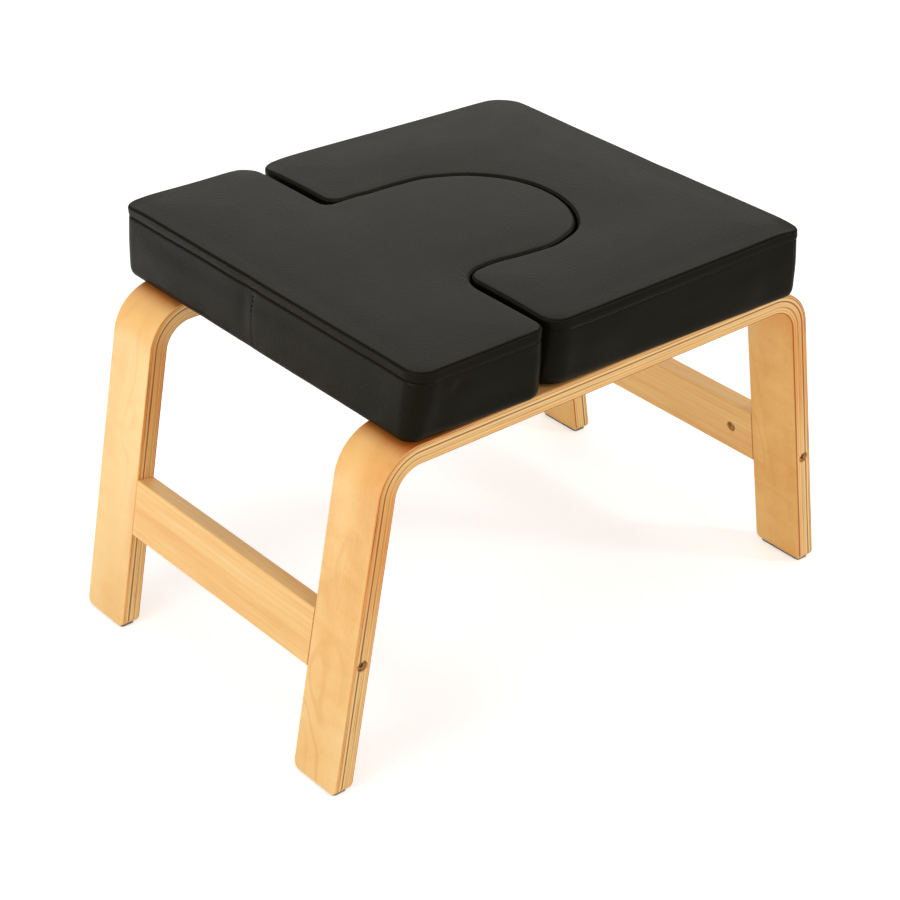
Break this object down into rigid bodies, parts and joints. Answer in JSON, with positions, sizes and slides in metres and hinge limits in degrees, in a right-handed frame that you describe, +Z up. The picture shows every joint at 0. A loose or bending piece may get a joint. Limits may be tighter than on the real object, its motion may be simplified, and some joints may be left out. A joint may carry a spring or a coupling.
{
  "type": "yoga headstand stool",
  "caption": "Low stool with bent plywood legs and rails under a padded top, split into a fixed U-shaped shoulder pad and a T-shaped seat pad that lifts out to leave room for the head.",
  "frame": {"origin": "on the floor under the middle of the frame, at the felts' undersides", "axes": "+X along the rails from the T pad to the closed end of the U pad, +Y from the front portal to the back one, +Z up"},
  "size_m": [0.5986, 0.41, 0.3885],
  "materials": {
    "birch_ply": "satin",
    "raw_wood": "matte",
    "pad_leather": "satin",
    "pad_foam": "matte",
    "underside_cloth": "matte",
    "foot_felt": "matte",
    "bronze_steel": "satin",
    "zinc_steel": "satin"
  },
  "bodies": {
    "stool": {"portal_front": "birch_ply", "portal_back": "birch_ply", "stretcher_left": "birch_ply", "stretcher_right": "birch_ply", "joint_bolt_front_left": "bronze_steel", "joint_bolt_back_left": "bronze_steel", "joint_bolt_front_right": "bronze_steel", "joint_bolt_back_right": "bronze_steel", "barrel_nut_front_left": "bronze_steel", "barrel_nut_back_left": "bronze_steel", "barrel_nut_front_right": "bronze_steel", "barrel_nut_back_right": "bronze_steel", "dowel_lower_front_left": "raw_wood", "dowel_upper_front_left": "raw_wood", "dowel_lower_back_left": "raw_wood", "dowel_upper_back_left": "raw_wood", "dowel_lower_front_right": "raw_wood", "dowel_upper_front_right": "raw_wood", "dowel_lower_back_right": "raw_wood", "dowel_upper_back_right": "raw_wood", "foot_felt_front_left": "foot_felt", "foot_felt_back_left": "foot_felt", "foot_felt_front_right": "foot_felt", "foot_felt_back_right": "foot_felt", "u_pad_cover_top": "pad_leather", "u_pad_cover_band": "pad_leather", "u_pad_foam": "pad_foam", "u_pad_board": "raw_wood", "u_pad_underside_cloth": "underside_cloth", "u_pad_tee_nut_front_arm": "zinc_steel", "u_pad_tee_nut_back_arm": "zinc_steel", "u_pad_tee_nut_front_end": "zinc_steel", "u_pad_tee_nut_back_end": "zinc_steel", "u_pad_screw_front_arm": "zinc_steel", "u_pad_screw_back_arm": "zinc_steel", "u_pad_screw_front_end": "zinc_steel", "u_pad_screw_back_end": "zinc_steel"},
    "t_pad": {"t_pad_cover_top": "pad_leather", "t_pad_cover_band": "pad_leather", "t_pad_foam": "pad_foam", "t_pad_board": "raw_wood", "t_pad_underside_cloth": "underside_cloth", "t_pad_peg_front_inner": "raw_wood", "t_pad_peg_back_inner": "raw_wood", "t_pad_peg_front_outer": "raw_wood", "t_pad_peg_back_outer": "raw_wood"}
  },
  "joints": [
    {"name": "t_pad_lift", "type": "slide", "parent": "stool", "child": "t_pad", "axis": [0, 0, 1], "range_m": [0, 0.12]}
  ]
}
